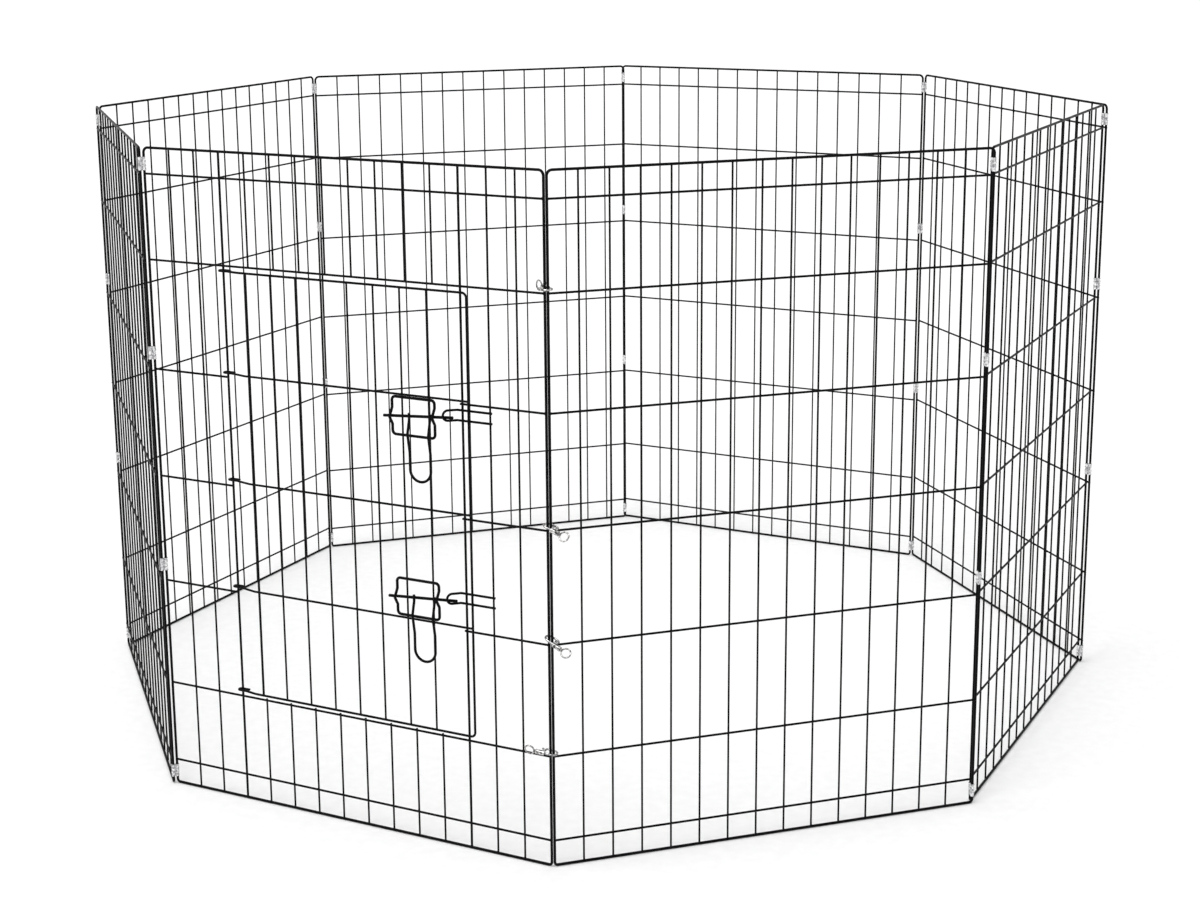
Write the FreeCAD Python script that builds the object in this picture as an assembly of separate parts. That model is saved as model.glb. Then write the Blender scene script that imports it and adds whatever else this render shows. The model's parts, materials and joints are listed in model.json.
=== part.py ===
"""Eight-panel folding wire exercise pen for pets, with a hinged door in one panel.

Millimetres, +Z up.  Every panel is drawn in its own frame and then turned round the pen:
local X runs from the panel's left wire to its right wire as seen from outside, local Y
points into the pen, and Z is height above the floor.  Panel 1 carries the door and faces
-Y.  Panels are numbered leftwards from it, and panel 8 meets panel 1 at the snap hooks.
"""
import FreeCAD, Part
import math
import os

os.makedirs("parts", exist_ok=True)
Vec = FreeCAD.Vector

# ---- driving dimensions -------------------------------------------------------------
panel_count = 8
overall_height = 914.4          # 36 inch pen
overall_width = 610.0           # 24 inch panel
frame_r = 1.8                   # bent perimeter wire of a panel
bar_r = 1.5                     # horizontal wires
upright_r = 1.3                 # thin vertical wires
post_r = 1.6                    # heavier wires round the doorway and the door's own frame
weld_sink = 0.2                 # how far two crossing wires melt into each other
pivot_gap = 5.6                 # between the axes of two frame wires joined by clips
closure_gap = 3.9               # between the two end wires that the snaps pull together
upright_bays = 15               # bays between the uprights across one panel
edge_bar_inset = 35.0           # extra bar just inside the top and the bottom rail
tall_bays = 6                   # bays between the main bars up one panel
top_corner_r = 7.0
bottom_corner_r = 4.0
running_clearance = 0.08        # radial clearance of a pivoting fit

frame_width = overall_width - 2 * frame_r       # between wire axes
z_bottom = frame_r
z_top = overall_height - frame_r
frame_height = z_top - z_bottom
upright_pitch = frame_width / upright_bays
bar_pitch = frame_height / tall_bays
bar_y = -1.0                                            # bars lie towards the outside
upright_y = bar_y + bar_r + upright_r - weld_sink       # uprights lie behind the bars
post_y = bar_y + bar_r + post_r - weld_sink
turn = 360.0 / panel_count
panel_apothem = frame_width / (2 * math.tan(math.radians(turn / 2)))
# for the corner between each panel and the next one: the panel whose end wire the clips
# are crimped on, and the side of it where the other panel's wire turns, 1 inside the pen
# and -1 outside it
corners = [(2, 1), (3, -1), (3, 1), (4, -1), (6, 1), (7, -1), (8, 1)]

# doorway in panel 1, between two posts that replace two uprights
hinge_post_x = 3 * upright_pitch
lock_post_x = 12 * upright_pitch
doorway_top = z_top - bar_pitch
doorway_bottom = z_top - 5 * bar_pitch

# door, hung outside the panel's plane
door_y = -4.6                   # its frame wire
door_bar_y = door_y - post_r - bar_r + weld_sink
door_upright_y = door_bar_y + bar_r + upright_r - weld_sink
door_stile_x = 161.0
door_pitch = 39.75
door_uprights = 7
door_edge_x = 497.5
door_top = z_top - 159.0
door_bottom = z_top - 751.0
door_bars_z = [z_top - depth for depth in (298.0, 447.5, 600.0)]
door_corner_r = 6.5
hook_reach = 6.0                # how far a hook passes the hinge post
hook_return = 9.0               # length of the hook's end behind the post

# slide-bolt latches on the door
latch_z = [z_top - 326.5, z_top - 570.9]
latch_x = 417.75
bracket_width = 63.5
bracket_height = 50.0
bracket_r = 1.9
kink_half_height = 11.0
kink_reach = 7.0                # how far a kinked side arches out over the bolt
bolt_r = 2.0
bolt_y = -8.6
bolt_left_x = 373.0
bolt_right_x = 477.0
bolt_rise = 1.5                 # bolt's height above the bracket's middle
bolt_tilt = 4.0                 # degrees, right end up
handle_r = 1.8
handle_left_x = 414.0
handle_right_x = 445.0
handle_gap = 0.05               # between a leg and the bolt that it turns about
handle_bow_y = -17.5            # legs bow out over the bracket's lower bar
handle_rest_y = -13.0
keeper_r = 1.6
keeper_rise = 8.0               # keeper's height above the bracket's middle
keeper_half = 6.75              # half the distance between its legs
keeper_tail_x = 529.3
keeper_bend_x = 479.0
keeper_tip_x = 465.0
keeper_tip_y = -13.6

# sheet-metal clips that join neighbouring panels
clip_wall = 0.7
clip_height = 18.0
crimp_bite = 0.02               # how far a crimped sleeve presses into the wire's coat
clip_centres = [z_top - depth for depth in (21.5, 281.0, 584.0, 893.0)]

# bolt snaps that close the ring, drawn along local X with the wire pair at the origin
snap_hook_r = 1.4               # bar of the hook
snap_hook_bend = 6.9            # radius of the hook round the two end wires
snap_nose_x = 2.0
snap_collar_x = 8.0             # front end of the barrel
snap_root_x = 10.0              # where the hook's bar enters the barrel
snap_barrel_r = 3.1
snap_barrel_end = 20.0
snap_thumb_r = 1.5              # sprung bolt
snap_thumb_tip = 2.3
snap_thumb_back = 11.8
snap_bore_end = 16.1
snap_travel = 4.0
snap_stud_x = 10.2
snap_stud_r = 1.0
snap_stud_top = 4.9
snap_stud_cap_r = 1.6           # broad end of the stud
snap_stud_cap = 1.7
snap_neck_r = 1.3
snap_head_r = 2.0
snap_head_x = (17.0, 18.2)      # front and back of the swivel's head inside the barrel
snap_eye_x = 28.6               # centre of the eye
snap_eye_r = 6.2
snap_eye_wire_r = 1.0
# height of the wire pair, azimuth and elevation of the barrel, side of the sprung bolt,
# and turn of the eye, for each snap from the top one down
snaps = [
    (z_top - bar_pitch + 5.2, 149.0, 0.0, -1, 90.0),
    (z_top - 3 * bar_pitch + 6.0, -8.0, -15.0, -1, 50.0),
    (z_top - 4 * bar_pitch + 7.7, -2.0, -25.0, -1, 40.0),
    (z_top - 5 * bar_pitch + 4.8, 187.0, 7.0, 1, 75.0),
]


# ---- wire shapes --------------------------------------------------------------------
def rod(start, end, radius):
    """Straight wire between two points."""
    along = end - start
    return Part.makeCylinder(radius, along.Length, start, along)


def bend_trim(before, corner, after, radius):
    """Tangent points and middle point of the arc that rounds one corner of a path."""
    back = (before - corner).normalize()
    ahead = (after - corner).normalize()
    half = back.getAngle(ahead) / 2
    reach = radius / math.tan(half)
    middle = (back + ahead).normalize()
    tip = corner + middle * (radius / math.sin(half) - radius)
    return corner + back * reach, tip, corner + ahead * reach


def bent_wire(points, bends, radius, closed=False):
    """Round wire along a path of straight runs; bends gives each corner's radius."""
    count = len(points)
    corners = range(count) if closed else range(1, count - 1)
    arcs = [bend_trim(points[i - 1], points[i], points[(i + 1) % count], bends[n])
            for n, i in enumerate(corners)]
    edges = []
    here = arcs[-1][2] if closed else points[0]
    start = here
    for first, tip, last in arcs:
        if (first - here).Length > 1e-3:
            edges.append(Part.LineSegment(here, first).toShape())
        edges.append(Part.Arc(first, tip, last).toShape())
        here = last
    if not closed:
        edges.append(Part.LineSegment(here, points[-1]).toShape())
    tangent = edges[0].tangentAt(edges[0].FirstParameter)
    section = Part.Wire(Part.makeCircle(radius, start, tangent))
    return Part.Wire(edges).makePipeShell([section], True, False)


def fuse(shapes):
    return shapes[0].multiFuse(shapes[1:]).removeSplitter() if len(shapes) > 1 else shapes[0]


# ---- panels -------------------------------------------------------------------------
def panel_frame():
    """Perimeter wire: rounded at the top, nearly square where it stands on the floor."""
    path = [Vec(0, 0, z_bottom), Vec(0, 0, z_top),
            Vec(frame_width, 0, z_top), Vec(frame_width, 0, z_bottom)]
    bends = [bottom_corner_r, top_corner_r, top_corner_r, bottom_corner_r]
    return bent_wire(path, bends, frame_r, closed=True)


def upright(x, low=z_bottom, high=z_top, radius=upright_r, y=upright_y):
    return rod(Vec(x, y, low), Vec(x, y, high), radius)


def bar(left, right, z):
    return rod(Vec(left, bar_y, z), Vec(right, bar_y, z), bar_r)


def bar_heights():
    """The two extra bars by the rails and the evenly spaced bars between them."""
    even = [z_top - n * bar_pitch for n in range(1, tall_bays)]
    return [z_top - edge_bar_inset] + even + [z_bottom + edge_bar_inset]


def plain_uprights():
    return [upright(n * upright_pitch) for n in range(1, upright_bays)]


def plain_bars():
    return [bar(0, frame_width, z) for z in bar_heights()]


def doorway_uprights():
    """Full uprights beside the doorway and short ones above and below it."""
    whole = []
    for n in range(1, upright_bays):
        x = n * upright_pitch
        if x < hinge_post_x - 1 or x > lock_post_x + 1:
            whole.append(upright(x))
        elif hinge_post_x + 1 < x < lock_post_x - 1:
            whole.append(upright(x, low=doorway_top - bar_r))
            whole.append(upright(x, high=doorway_bottom + bar_r))
    return whole


def doorway_posts():
    return [upright(x, radius=post_r, y=post_y) for x in (hinge_post_x, lock_post_x)]


def doorway_bars():
    """Bars across the panel above and below the doorway, and stubs beside it."""
    bars = []
    for z in bar_heights():
        if doorway_bottom + 1 < z < doorway_top - 1:
            bars.append(bar(0, hinge_post_x + bar_r, z))
            bars.append(bar(lock_post_x - bar_r, frame_width, z))
        else:
            bars.append(bar(0, frame_width, z))
    return bars


# ---- door ---------------------------------------------------------------------------
def hook_points(wire_r, z, out_y, out_x):
    """Path of a hook round the hinge post, from its free end out to the door's plane."""
    loop = post_r + running_clearance + wire_r
    back_x = hinge_post_x + hook_return
    tip_x = hinge_post_x - hook_reach
    return [Vec(back_x, post_y + loop, z), Vec(tip_x, post_y + loop, z),
            Vec(tip_x, post_y - loop, z), Vec(back_x, post_y - loop, z),
            Vec(out_x, out_y, z)]


def door_frame():
    """One wire: a hook, the top rail, the free edge, the bottom rail and a second hook."""
    loop = post_r + running_clearance + post_r
    jog = [loop, loop, 6.0, 6.0]
    top = hook_points(post_r, door_top, door_y, door_stile_x - 14)
    bottom = hook_points(post_r, door_bottom, door_y, door_stile_x - 14)
    path = top + [Vec(door_edge_x, door_y, door_top),
                  Vec(door_edge_x, door_y, door_bottom)] + bottom[::-1]
    return bent_wire(path, jog + [door_corner_r, door_corner_r] + jog[::-1], post_r)


def door_bars():
    loop = post_r + running_clearance + bar_r
    bars = []
    for z in door_bars_z:
        path = hook_points(bar_r, z, door_bar_y, door_stile_x - 6)
        path.append(Vec(door_edge_x + 2, door_bar_y, z))
        bars.append(bent_wire(path, [loop, loop, 6.0, 6.0], bar_r))
    return bars


def door_uprights_and_stile():
    thin = [upright(door_stile_x + n * door_pitch, door_bottom, door_top,
                    y=door_upright_y) for n in range(1, door_uprights + 1)]
    return [upright(door_stile_x, door_bottom, door_top, post_r, door_y)] + thin


# ---- latches ------------------------------------------------------------------------
def bolt_z(x, middle):
    """Height of the tilted bolt's axis at x."""
    return middle + bolt_rise + (x - latch_x) * math.tan(math.radians(bolt_tilt))


def latch_bracket(middle):
    """Closed loop welded to the door's wires; its sides arch out over the bolt."""
    left = latch_x - bracket_width / 2
    right = latch_x + bracket_width / 2
    high = middle + bracket_height / 2
    low = middle - bracket_height / 2
    flat_y = door_upright_y - upright_r - bracket_r + weld_sink
    path, bends = [], []
    for x, order in ((right, 1), (left, -1)):
        mid = bolt_z(x, middle)
        side = [Vec(x, flat_y, high), Vec(x, flat_y, mid + kink_half_height),
                Vec(x, flat_y - kink_reach, mid), Vec(x, flat_y, mid - kink_half_height),
                Vec(x, flat_y, low)]
        path += side[::order]
        bends += [5.0, 2.5, 2.5, 2.5, 5.0]
    return bent_wire(path, bends, bracket_r, closed=True)


def latch_bolt(middle):
    ends = [Vec(x, bolt_y, bolt_z(x, middle)) for x in (bolt_left_x, bolt_right_x)]
    body = rod(ends[0], ends[1], bolt_r)
    return body.makeChamfer(0.5, [e for e in body.Edges if e.Curve.TypeId == "Part::GeomCircle"])


def latch_handle(middle):
    """Hanging loop whose legs bow out over the bracket's lower bar."""
    near_y = bolt_y - bolt_r - handle_gap - handle_r
    bow_z = middle - 20.5
    rest_z = middle - 46.0
    foot_z = middle - 83.5
    half = (handle_right_x - handle_left_x) / 2
    leg = []
    for x, above in ((handle_left_x, 5.0), (handle_right_x, 4.0)):
        z = bolt_z(x, middle)
        leg.append([Vec(x, near_y, z + above), Vec(x, near_y, z - 4),
                    Vec(x, handle_bow_y, bow_z), Vec(x, handle_rest_y, rest_z),
                    Vec(x, handle_rest_y, foot_z)])
    path = leg[0] + leg[1][::-1]
    bends = [6.0, 8.0, 20.0, half, half, 20.0, 8.0, 6.0]
    return bent_wire(path, bends, handle_r)


def latch_keeper(middle):
    """Hairpin welded across the lock post; its closed end stands out over the bolt."""
    keeper_y = bar_y + bar_r - keeper_r
    high = middle + keeper_rise + keeper_half
    low = middle + keeper_rise - keeper_half
    path = [Vec(keeper_tail_x, keeper_y, high), Vec(keeper_bend_x, keeper_y, high),
            Vec(keeper_tip_x, keeper_tip_y, high), Vec(keeper_tip_x, keeper_tip_y, low),
            Vec(keeper_bend_x, keeper_y, low), Vec(keeper_tail_x, keeper_y, low)]
    return bent_wire(path, [4.0, keeper_half, keeper_half, 4.0], keeper_r)


# ---- clips between panels -----------------------------------------------------------
def pair_clips(held, turning):
    """Four figure-of-eight sleeves, crimped on one end wire; the other turns in them."""
    clips = []
    wall_r = frame_r + running_clearance + clip_wall
    across = turning - held
    bores = [(held, frame_r - crimp_bite), (turning, frame_r + running_clearance)]
    for centre in clip_centres:
        base = Vec(0, 0, centre - clip_height / 2)
        lobes = [Part.makeCylinder(wall_r, clip_height, axis + base) for axis, _ in bores]
        web = Part.makeBox(across.Length, 2 * clip_wall, clip_height)
        web.translate(Vec(0, -clip_wall, 0))
        web.rotate(Vec(0, 0, 0), Vec(0, 0, 1), math.degrees(math.atan2(across.y, across.x)))
        web.translate(held + base)
        sleeve = fuse(lobes + [web])
        for axis, bore_r in bores:
            sleeve = sleeve.cut(Part.makeCylinder(bore_r, clip_height + 2,
                                                  axis + base - Vec(0, 0, 1)))
        clips.append(sleeve)
    return clips


# ---- snap hooks ---------------------------------------------------------------------
def snap_cylinder(radius, start, end, offset):
    return Part.makeCylinder(radius, end - start, Vec(start, offset, 0), Vec(1, 0, 0))


def stud_slot(lane):
    """Cutter for the round-ended slot that the thumb stud moves along."""
    half = snap_stud_r + 0.25
    near, far = snap_stud_x, snap_stud_x + snap_travel
    ends = [Vec(near, lane - half, 0), Vec(far, lane - half, 0),
            Vec(far, lane + half, 0), Vec(near, lane + half, 0)]
    outline = Part.Wire([Part.LineSegment(ends[0], ends[1]).toShape(),
                         Part.Arc(ends[1], Vec(far + half, lane, 0), ends[2]).toShape(),
                         Part.LineSegment(ends[2], ends[3]).toShape(),
                         Part.Arc(ends[3], Vec(near - half, lane, 0), ends[0]).toShape()])
    return Part.Face(outline).extrude(Vec(0, 0, snap_barrel_r + 2))


def snap_body(side):
    """Hook and hollow barrel; the barrel lies on the mouth's side of the hook."""
    lane = side * snap_hook_bend
    hook = bent_wire([Vec(snap_root_x, lane, 0), Vec(snap_root_x, -lane, 0),
                      Vec(-snap_hook_bend, -lane, 0), Vec(-snap_hook_bend, lane, 0),
                      Vec(snap_nose_x, lane, 0)],
                     [2.5, snap_hook_bend, snap_hook_bend], snap_hook_r)
    barrel = snap_cylinder(snap_barrel_r, snap_collar_x, snap_barrel_end, lane)
    body = fuse([hook, barrel])
    bolt_bore = snap_cylinder(snap_thumb_r + running_clearance, snap_collar_x - 2,
                              snap_bore_end, lane)
    chamber = snap_cylinder(snap_head_r + 0.2, snap_head_x[0] - 0.15,
                            snap_head_x[1] + 0.15, lane)
    neck_hole = snap_cylinder(snap_neck_r + running_clearance, snap_head_x[0],
                              snap_barrel_end + 1, lane)
    for tool in (bolt_bore, stud_slot(lane), chamber, neck_hole):
        body = body.cut(tool)
    return body


def snap_thumb_bolt(side):
    """Sprung bolt that shuts the mouth, with the stud that a thumb draws back."""
    lane = side * snap_hook_bend
    pin = snap_cylinder(snap_thumb_r, snap_thumb_tip, snap_thumb_back, lane)
    stud = Part.makeCylinder(snap_stud_r, snap_stud_top + 0.2, Vec(snap_stud_x, lane, 0))
    cap = Part.makeCylinder(snap_stud_cap_r, snap_stud_cap, Vec(snap_stud_x, lane, snap_stud_top))
    return fuse([pin, stud, cap])


def snap_eye(side, turned):
    """Swivel eye with its neck and the head that holds it in the barrel."""
    lane = side * snap_hook_bend
    near = snap_eye_x - snap_eye_r
    neck = snap_cylinder(snap_neck_r, snap_head_x[0] + 0.5, near + 0.6, lane)
    head = snap_cylinder(snap_head_r, snap_head_x[0], snap_head_x[1], lane)
    flange = snap_cylinder(snap_head_r, snap_barrel_end + 0.15, near - 0.6, lane)
    eye = Part.makeTorus(snap_eye_r, snap_eye_wire_r, Vec(snap_eye_x, lane, 0), Vec(0, 0, 1))
    shape = fuse([neck, head, flange, eye])
    shape.rotate(Vec(0, lane, 0), Vec(1, 0, 0), turned)
    return shape


# ---- places round the ring ----------------------------------------------------------
def spin(number):
    """Turn about Z of a panel from the door panel's place; panels go round leftwards."""
    return FreeCAD.Rotation(Vec(0, 0, 1), -turn * (number - 1))


def leaning(place, pivot_x, shift):
    """A panel's placement turned about its wire at pivot_x; its far wire goes in by shift."""
    angle = math.degrees(math.asin(shift / frame_width)) * (1 if pivot_x == 0 else -1)
    lean = FreeCAD.Placement(Vec(0, 0, 0), FreeCAD.Rotation(Vec(0, 0, 1), angle),
                             Vec(pivot_x, 0, 0))
    return place.multiply(lean)


def ring_places():
    """Placement of every panel's own frame, stepped from one corner to the next."""
    places = {1: FreeCAD.Placement(Vec(-frame_width / 2, -panel_apothem, 0), spin(1))}
    for number, (holder, side) in enumerate(corners, 1):
        here = places[number].multVec(Vec(0, 0, 0))
        across = spin(holder).multVec(Vec(0, side * pivot_gap, 0))
        wire = here + across if holder == number else here - across
        start = wire - spin(number + 1).multVec(Vec(frame_width, 0, 0))
        places[number + 1] = FreeCAD.Placement(start, spin(number + 1))
    # the end panels lean a little about their clips, so that their end wires lie side by side
    half = math.radians(turn / 2)
    gap = places[panel_count].multVec(Vec(0, 0, 0)) - places[1].multVec(Vec(frame_width, 0, 0))
    missing = Vec(math.cos(half), math.sin(half), 0) * closure_gap - gap
    last_shift = -missing.x / math.sin(2 * half)
    first_shift = math.cos(2 * half) * last_shift - missing.y
    places[1] = leaning(places[1], 0, first_shift)
    places[panel_count] = leaning(places[panel_count], frame_width, last_shift)
    return places


panel_places = ring_places()


def in_ring(shape, number):
    placed = shape.copy()
    placed.Placement = panel_places[number].multiply(placed.Placement)
    return placed


def ring_point(x, number):
    """Axis of a vertical frame wire, at local x, on the floor."""
    return panel_places[number].multVec(Vec(x, 0, 0))


def left_wire(number):
    return ring_point(0, number)


def right_wire(number):
    return ring_point(frame_width, number)


def closure_point():
    """Midway between the two end wires that the snaps hold together."""
    return (right_wire(1) + left_wire(panel_count)) * 0.5


def place_snap(shape, snap):
    height, azimuth, elevation = snap[:3]
    placed = shape.copy()
    placed.rotate(Vec(0, 0, 0), Vec(0, 1, 0), -elevation)
    placed.rotate(Vec(0, 0, 0), Vec(0, 0, 1), azimuth)
    placed.translate(closure_point() + Vec(0, 0, height))
    return placed


# ---- the whole pen ------------------------------------------------------------------
def build():
    """Every node's solids, as {node name: [solids]}, with the ring's centre at the origin."""
    nodes = {}
    for number in range(1, panel_count + 1):
        has_door = number == 1
        wires = {"frame": [panel_frame()],
                 "uprights": doorway_uprights() if has_door else plain_uprights(),
                 "crossbars": doorway_bars() if has_door else plain_bars()}
        if has_door:
            wires["door_posts"] = doorway_posts()
        for kind, solids in wires.items():
            nodes[f"panel_{number}_{kind}"] = [in_ring(s, number) for s in solids]
    for number, (holder, _) in enumerate(corners, 1):
        pair = [left_wire(number), right_wire(number + 1)]
        held, turning = pair if holder == number else pair[::-1]
        nodes[f"hinge_clips_{number}"] = pair_clips(held, turning)
    door = {"door_frame": [door_frame()], "door_crossbars": door_bars(),
            "door_uprights": door_uprights_and_stile()}
    for name, middle in zip(("upper", "lower"), latch_z):
        door[f"{name}_latch_bracket"] = [latch_bracket(middle)]
        door[f"{name}_latch_bolt"] = [latch_bolt(middle)]
        door[f"{name}_latch_handle"] = [latch_handle(middle)]
        door[f"{name}_latch_keeper"] = [latch_keeper(middle)]
    for name, solids in door.items():
        nodes[name] = [in_ring(s, 1) for s in solids]
    for number, snap in enumerate(snaps, 1):
        side, eye_turn = snap[3:]
        nodes[f"snap_{number}_body"] = [place_snap(snap_body(side), snap)]
        nodes[f"snap_{number}_thumb_bolt"] = [place_snap(snap_thumb_bolt(side), snap)]
        nodes[f"snap_{number}_eye"] = [place_snap(snap_eye(side, eye_turn), snap)]
    return nodes


def origin_shift(nodes):
    """Move that brings the middle of the pen's footprint to the origin."""
    box = Part.makeCompound([s for solids in nodes.values() for s in solids]).BoundBox
    return Vec(-box.Center.x, -box.Center.y, 0)


def main():
    nodes = build()
    shift = origin_shift(nodes)
    for name, solids in nodes.items():
        group = Part.makeCompound(solids) if len(solids) > 1 else solids[0].copy()
        group.translate(shift)
        group.exportStep(f"parts/{name}.step")
    print(len(nodes), "nodes; ring centre at", -shift.x, -shift.y)


main()
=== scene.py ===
"""Looks of the folding wire pet pen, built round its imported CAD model.  Metres, +Z up."""
import json
import math

import bpy
from mathutils import Matrix, Vector


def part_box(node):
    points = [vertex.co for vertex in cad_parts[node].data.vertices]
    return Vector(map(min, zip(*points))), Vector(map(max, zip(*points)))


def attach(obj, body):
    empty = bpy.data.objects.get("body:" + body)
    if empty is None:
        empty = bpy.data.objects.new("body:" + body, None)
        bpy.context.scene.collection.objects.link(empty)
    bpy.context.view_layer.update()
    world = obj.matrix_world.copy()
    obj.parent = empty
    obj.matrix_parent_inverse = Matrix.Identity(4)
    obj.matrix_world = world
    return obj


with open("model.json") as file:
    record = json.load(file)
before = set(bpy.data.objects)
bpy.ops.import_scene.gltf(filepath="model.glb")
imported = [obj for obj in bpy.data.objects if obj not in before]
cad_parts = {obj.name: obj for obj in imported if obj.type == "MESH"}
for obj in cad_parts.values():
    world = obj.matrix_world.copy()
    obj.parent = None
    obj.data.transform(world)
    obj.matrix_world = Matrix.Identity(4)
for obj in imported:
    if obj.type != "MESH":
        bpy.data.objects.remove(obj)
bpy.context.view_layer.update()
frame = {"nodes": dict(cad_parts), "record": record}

MM = 0.001

# ---- where things are, read from the CAD model ---------------------------------------
behaviour = frame["record"]["behaviour"]
joints = {j["name"]: j for j in behaviour["joints"]}
body_of = {node: body for body, nodes in behaviour["bodies"].items() for node in nodes}
FRAME_R = 1.8 * MM
back_low, back_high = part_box("panel_5_frame")
WIDTH = back_high[0] - back_low[0] - 2 * FRAME_R
Z_LOW = back_low[2] + FRAME_R
Z_HIGH = back_high[2] - FRAME_R
UPRIGHT_PITCH = WIDTH / 15
BAR_PITCH = (Z_HIGH - Z_LOW) / 6
EDGE_BAR_INSET = 35 * MM                    # extra bar inside the top and the bottom rail
DOOR_STILE_X = 161 * MM
DOOR_PITCH = 39.75 * MM
DOOR_EDGE_X = 497.5 * MM
DOOR_RAIL_DEPTHS = (159.0, 751.0)           # millimetres below the panel's top rail
DOOR_BAR_DEPTHS = (298.0, 447.5, 600.0)
CLIP_DEPTHS = (21.5, 281.0, 584.0, 893.0)


def panel_matrix(number):
    """From a panel's own frame (X along it, Y into the pen, Z up) to the pen's frame."""
    low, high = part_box(f"panel_{number}_frame")
    facing = math.radians(-45 * (number - 1))
    run_x = math.copysign(high[0] - low[0] - 2 * FRAME_R, math.cos(facing))
    run_y = math.copysign(high[1] - low[1] - 2 * FRAME_R, math.sin(facing))
    middle = Matrix.Translation(((low[0] + high[0]) / 2, (low[1] + high[1]) / 2, 0))
    turn = Matrix.Rotation(math.atan2(run_y, run_x), 4, "Z")
    return middle @ turn @ Matrix.Translation((-WIDTH / 2, 0, 0))


# ---- materials -----------------------------------------------------------------------
def new_material(name):
    mat = bpy.data.materials.new(name)
    mat.use_nodes = True
    nodes = mat.node_tree.nodes
    return mat, nodes, mat.node_tree.links, nodes["Principled BSDF"]


def noise(nodes, links, coords, scale, detail=2.0, roughness=0.5):
    node = nodes.new("ShaderNodeTexNoise")
    node.inputs["Scale"].default_value = scale
    node.inputs["Detail"].default_value = detail
    node.inputs["Roughness"].default_value = roughness
    links.new(coords.outputs["Object"], node.inputs["Vector"])
    return node


def ramp(nodes, links, source, low, high, start=0.35, end=0.65):
    """Colour ramp from low to high as the source runs from start to end."""
    node = nodes.new("ShaderNodeValToRGB")
    node.color_ramp.elements[0].position = start
    node.color_ramp.elements[0].color = (*low, 1)
    node.color_ramp.elements[1].position = end
    node.color_ramp.elements[1].color = (*high, 1)
    links.new(source, node.inputs["Fac"])
    return node


def value_range(nodes, links, source, low, high):
    node = nodes.new("ShaderNodeMapRange")
    node.inputs["To Min"].default_value = low
    node.inputs["To Max"].default_value = high
    links.new(source, node.inputs["Value"])
    return node


def bump(nodes, links, source, target, strength, distance):
    node = nodes.new("ShaderNodeBump")
    node.inputs["Strength"].default_value = strength
    node.inputs["Distance"].default_value = distance
    links.new(source, node.inputs["Height"])
    links.new(node.outputs["Normal"], target)


def coated_wire(name, light=1.0):
    """Black epoxy coat: faint orange peel, patches of gloss and a trace of dust."""
    mat, nodes, links, bsdf = new_material(name)
    coords = nodes.new("ShaderNodeTexCoord")
    patches = noise(nodes, links, coords, 14.0, 4.0)
    peel = noise(nodes, links, coords, 2600.0, 2.0)
    tint = ramp(nodes, links, patches.outputs["Fac"],
                (0.001 * light, 0.001 * light, 0.0012 * light),
                (0.004 * light, 0.004 * light, 0.0048 * light))
    links.new(tint.outputs["Color"], bsdf.inputs["Base Color"])
    gloss = value_range(nodes, links, patches.outputs["Fac"], 0.28, 0.46)
    links.new(gloss.outputs["Result"], bsdf.inputs["Roughness"])
    bsdf.inputs["Specular IOR Level"].default_value = 0.06
    bump(nodes, links, peel.outputs["Fac"], bsdf.inputs["Normal"], 0.18, 0.00008)
    return mat


def plated(name, low, high, rough, dent, dent_scale):
    """Plated metal: painted reflections (dark and bright patches painted into the colour), fine
    grain and shallow dents from pressing or casting.
    """
    mat, nodes, links, bsdf = new_material(name)
    coords = nodes.new("ShaderNodeTexCoord")
    painted_reflection_noise = noise(nodes, links, coords, 320.0, 4.0)
    grain = noise(nodes, links, coords, 5200.0, 2.0)
    dents = nodes.new("ShaderNodeTexVoronoi")
    dents.inputs["Scale"].default_value = dent_scale
    links.new(coords.outputs["Object"], dents.inputs["Vector"])
    # Painted reflection: the colour swings between the dark and the bright colour in patches,
    # standing in for the mirrored surroundings.
    tint = ramp(nodes, links, painted_reflection_noise.outputs["Fac"], low, high)
    links.new(tint.outputs["Color"], bsdf.inputs["Base Color"])
    bsdf.inputs["Metallic"].default_value = 1.0
    gloss = value_range(nodes, links, grain.outputs["Fac"], rough[0], rough[1])
    links.new(gloss.outputs["Result"], bsdf.inputs["Roughness"])
    bump(nodes, links, dents.outputs["Distance"], bsdf.inputs["Normal"], dent, 0.0004)
    return mat


BLACK = coated_wire("black_epoxy_coat")
WELD = coated_wire("black_coat_over_weld", 1.2)
# The low and high colours of each plated metal are painted reflections, dark and bright, not
# the metal's own tone.
ZINC = plated("zinc_plated_sheet", (0.3, 0.3, 0.31), (0.95, 0.95, 0.96),
              (0.16, 0.34), 0.55, 420.0)
NICKEL = plated("nickel_plated_casting", (0.02, 0.02, 0.021), (0.85, 0.84, 0.83),
                (0.08, 0.22), 0.25, 260.0)
RING = plated("nickel_plated_ring", (0.008, 0.008, 0.009), (0.62, 0.61, 0.6),
              (0.06, 0.18), 0.3, 300.0)
STEEL = plated("bright_steel_pin", (0.05, 0.05, 0.052), (0.6, 0.6, 0.61),
               (0.16, 0.3), 0.2, 500.0)


def node_material(name):
    if name.startswith("hinge_clips"):
        return ZINC
    if name.endswith("thumb_bolt"):
        return STEEL
    if name.endswith("_eye"):
        return RING
    if name.startswith("snap"):
        return NICKEL
    return BLACK


for node_name, node_object in frame["nodes"].items():
    node_object.data.materials.clear()
    node_object.data.materials.append(node_material(node_name))
    for polygon in node_object.data.polygons:
        polygon.material_index = 0


# ---- detail pieces -------------------------------------------------------------------
def make_piece(name, shape, material, body):
    """New smooth-shaded object from (points, faces), riding on a body."""
    data = bpy.data.meshes.new(name)
    data.from_pydata(shape[0], [], shape[1])
    data.polygons.foreach_set("use_smooth", [True] * len(data.polygons))
    data.materials.append(material)
    piece = bpy.data.objects.new(name, data)
    bpy.context.collection.objects.link(piece)
    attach(piece, body)


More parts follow.
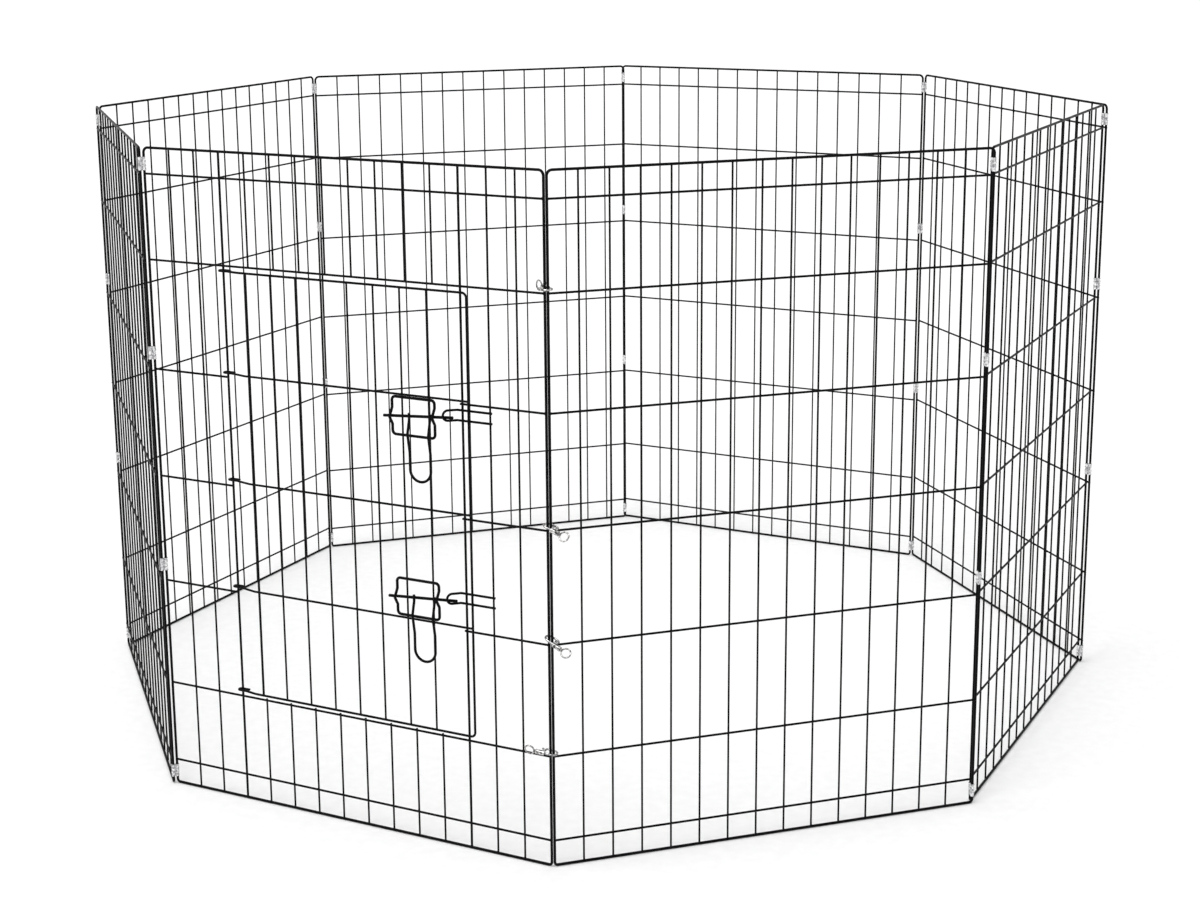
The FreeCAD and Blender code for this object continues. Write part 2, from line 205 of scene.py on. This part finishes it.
def rings_to_faces(first, rings, steps, closed):
    """Quads between neighbouring rings of points, the first of which has index first."""
    faces = []
    for ring in range(rings if closed else rings - 1):
        low, high = first + ring * steps, first + (ring + 1) % rings * steps
        for step in range(steps):
            after = (step + 1) % steps
            faces.append((low + step, low + after, high + after, high + step))
    return faces


def unit_ball(steps=10, rings=6):
    """Points of a unit ball in rings from pole to pole."""
    points = []
    for ring in range(rings):
        tilt = math.pi * (ring + 0.08) / (rings - 0.84)
        for step in range(steps):
            angle = 2 * math.pi * step / steps
            points.append(Vector((math.sin(tilt) * math.cos(angle),
                                  math.sin(tilt) * math.sin(angle), math.cos(tilt))))
    caps = [tuple(range(steps))[::-1], tuple(range((rings - 1) * steps, rings * steps))]
    return points, [f[::-1] for f in rings_to_faces(0, rings, steps, False)] + caps


BALL_POINTS, BALL_FACES = unit_ball()


def add_bead(shape, matrix, centre, radii, seed):
    """Squashed weld bead, a little uneven from one to the next."""
    points, faces = shape
    wobble = 1 + 0.12 * math.sin(12.9 * seed + 3.1)
    lean = 0.25 * math.sin(7.7 * seed)
    scale = Matrix.Diagonal((radii[0] * wobble, radii[1], radii[2] * (2 - wobble), 1))
    place = matrix @ Matrix.Translation(centre) @ Matrix.Rotation(lean, 4, "Y") @ scale
    first = len(points)
    for p in BALL_POINTS:
        ripple = 1 + 0.07 * math.sin(5 * p.x + 3 * p.z + seed)
        points.append(place @ (p * ripple))
    faces.extend(tuple(first + i for i in face) for face in BALL_FACES)


def add_band(shape, origin, axis, along, bore, radius, half, steps=28):
    """Rounded band round an axis: a closed ring section turned about it."""
    points, faces = shape
    turn = Vector((0, 0, 1)).rotation_difference(axis).to_matrix().to_4x4()
    place = Matrix.Translation(origin) @ turn
    first, sides = len(points), 12
    for side in range(sides):
        around = 2 * math.pi * side / sides
        height = along + half * math.cos(around)
        reach = (bore + radius) / 2 + (radius - bore) / 2 * math.sin(around)
        for step in range(steps):
            angle = 2 * math.pi * step / steps
            points.append(place @ Vector((reach * math.cos(angle), reach * math.sin(angle),
                                          height)))
    faces.extend(rings_to_faces(first, sides, steps, True))


def bar_heights():
    even = [Z_HIGH - n * BAR_PITCH for n in range(1, 6)]
    return [Z_HIGH - EDGE_BAR_INSET] + even + [Z_LOW + EDGE_BAR_INSET]


def in_doorway(x, z):
    """True where panel 1 has no mesh because of its doorway."""
    inside = 3 * UPRIGHT_PITCH - MM < x < 12 * UPRIGHT_PITCH + MM
    return inside and Z_HIGH - 5 * BAR_PITCH + MM < z < Z_HIGH - BAR_PITCH - MM


def panel_welds(number):
    """Weld beads at every crossing of a panel's wires and where wires meet its frame."""
    matrix = panel_matrix(number)
    mesh = ([], [])
    seed = number * 1.7
    uprights = [n * UPRIGHT_PITCH for n in range(1, 15)]
    for z in bar_heights():
        for x in uprights:
            seed += 1
            if not (number == 1 and in_doorway(x, z)):
                add_bead(mesh, matrix, (x, 0.4 * MM, z), (1.75 * MM, 1.0 * MM, 1.75 * MM), seed)
        for x, side in ((0.0, 1), (WIDTH, -1)):
            seed += 1
            add_bead(mesh, matrix, (x + side * 1.5 * MM, -0.9 * MM, z),
                     (1.5 * MM, 1.35 * MM, 1.85 * MM), seed)
    for x in uprights:
        for z, side in ((Z_LOW, 1), (Z_HIGH, -1)):
            seed += 1
            add_bead(mesh, matrix, (x, 1.15 * MM, z + side * 1.2 * MM),
                     (1.65 * MM, 1.2 * MM, 1.6 * MM), seed)
    make_piece(f"panel_{number}_weld_beads", mesh, WELD, f"panel_{number}")


for panel_number in range(1, 9):
    panel_welds(panel_number)


def door_welds():
    """Weld beads of the door's mesh, where its thin wires cross its bars and rails."""
    matrix = panel_matrix(1)
    mesh = ([], [])
    uprights = [DOOR_STILE_X + n * DOOR_PITCH for n in range(1, 8)]
    seed = 0.4
    for depth in DOOR_BAR_DEPTHS:
        for x in [DOOR_STILE_X] + uprights + [DOOR_EDGE_X]:
            seed += 1
            add_bead(mesh, matrix, (x, -6.1 * MM, Z_HIGH - depth * MM),
                     (1.8 * MM, 1.0 * MM, 1.75 * MM), seed)
    for depth, side in zip(DOOR_RAIL_DEPTHS, (-1, 1)):
        for x in [DOOR_STILE_X] + uprights:
            seed += 1
            add_bead(mesh, matrix, (x, -4.9 * MM, Z_HIGH + side * 1.3 * MM - depth * MM),
                     (1.7 * MM, 1.3 * MM, 1.5 * MM), seed)
    make_piece("door_weld_beads", mesh, WELD, "door")


door_welds()


def clip_lips(number):
    """Rolled lips at both ends of each sleeve, and two pressed bands between them."""
    mesh = ([], [])
    up = Vector((0, 0, 1))
    axes = [panel_matrix(number) @ Vector((0, 0, 0)),
            panel_matrix(number + 1) @ Vector((WIDTH, 0, 0))]
    for depth in CLIP_DEPTHS:
        middle = Z_HIGH - depth * MM
        for axis in axes:
            base = Vector((axis.x, axis.y, middle))
            for offset, half in ((-8.5, 0.5), (-3.0, 0.8), (3.0, 0.8), (8.5, 0.5)):
                add_band(mesh, base, up, offset * MM, 2.3 * MM, 2.86 * MM, half * MM)
    node = f"hinge_clips_{number}"
    make_piece(f"{node}_lips", mesh, ZINC, body_of[node])


for hinge_number in range(1, 8):
    clip_lips(hinge_number)


def snap_bands(number):
    """Raised bands round the mouth and the swivel end of a snap's barrel."""
    swivel = joints[f"snap_{number}_eye_swivel"]
    origin, axis = Vector(swivel["pos_m"]), Vector(swivel["axis"])
    mesh = ([], [])
    for along, half in ((8.5, 0.5), (17.0, 0.35), (19.5, 0.5)):
        add_band(mesh, origin, axis, along * MM, 2.9 * MM, 3.4 * MM, half * MM)
    make_piece(f"snap_{number}_barrel_bands", mesh, NICKEL, f"snap_{number}")


for snap_number in range(1, 5):
    snap_bands(snap_number)


# ---- floor, light and camera ---------------------------------------------------------
def make_floor():
    mat, nodes, links, bsdf = new_material("studio_paper")
    coords = nodes.new("ShaderNodeTexCoord")
    fibres = noise(nodes, links, coords, 60.0, 3.0)
    tint = ramp(nodes, links, fibres.outputs["Fac"], (0.90, 0.90, 0.90), (0.93, 0.93, 0.93))
    links.new(tint.outputs["Color"], bsdf.inputs["Base Color"])
    bsdf.inputs["Roughness"].default_value = 0.9
    size = 60.0
    data = bpy.data.meshes.new("studio_floor")
    data.from_pydata([(-size, -size, 0), (size, -size, 0), (size, size, 0), (-size, size, 0)],
                     [], [(0, 1, 2, 3)])
    data.materials.append(mat)
    floor = bpy.data.objects.new("studio_floor", data)
    floor.location.z = -0.0003
    bpy.context.collection.objects.link(floor)


def add_sun(name, place, angle, strength):
    """Broad soft light from a direction, even over the whole floor."""
    data = bpy.data.lights.new(name, "SUN")
    data.angle = math.radians(angle)
    data.energy = strength
    light = bpy.data.objects.new(name, data)
    light.location = place
    light.rotation_mode = "QUATERNION"
    light.rotation_quaternion = (-Vector(place)).to_track_quat("-Z", "Y")
    bpy.context.collection.objects.link(light)


def make_world():
    """White studio air with one dark band above the horizon, for the metal to mirror."""
    world = bpy.data.worlds.new("studio_air")
    bpy.context.scene.world = world
    world.use_nodes = True
    nodes, links = world.node_tree.nodes, world.node_tree.links
    coords = nodes.new("ShaderNodeTexCoord")
    split = nodes.new("ShaderNodeSeparateXYZ")
    links.new(coords.outputs["Generated"], split.inputs["Vector"])
    sky = ramp(nodes, links, split.outputs["Z"], (1.0, 1.0, 1.0), (0.94, 0.94, 0.94), 0.2, 0.5)
    for height in (0.23, 0.3):
        sky.color_ramp.elements.new(height).color = (0.03, 0.03, 0.032, 1)
    links.new(sky.outputs["Color"], nodes["Background"].inputs["Color"])
    nodes["Background"].inputs["Strength"].default_value = 1.0


def make_camera():
    """Standing in front of the closure corner, looking slightly down across the pen."""
    data = bpy.data.cameras.new("front_camera")
    data.sensor_width = 36.0
    data.lens = 62.57
    data.shift_x = 0.0208
    data.shift_y = -0.0758
    data.clip_end = 200.0
    camera = bpy.data.objects.new("front_camera", data)
    camera.location = (1.4853, -2.9426, 1.2344)
    camera.rotation_mode = "XYZ"
    yaw, pitch, roll = (math.radians(a) for a in (27.268, 12.783, -0.541))
    turn = Matrix.Rotation(yaw, 3, "Z") @ Matrix.Rotation(math.pi / 2 - pitch, 3, "X")
    camera.rotation_euler = (turn @ Matrix.Rotation(roll, 3, "Z")).to_euler()
    bpy.context.collection.objects.link(camera)
    bpy.context.scene.camera = camera


make_floor()
make_world()
add_sun("overhead_softbox", (-0.8, -1.6, 4.0), 40.0, 1.25)
make_camera()
bpy.context.scene.view_settings.view_transform = "Standard"
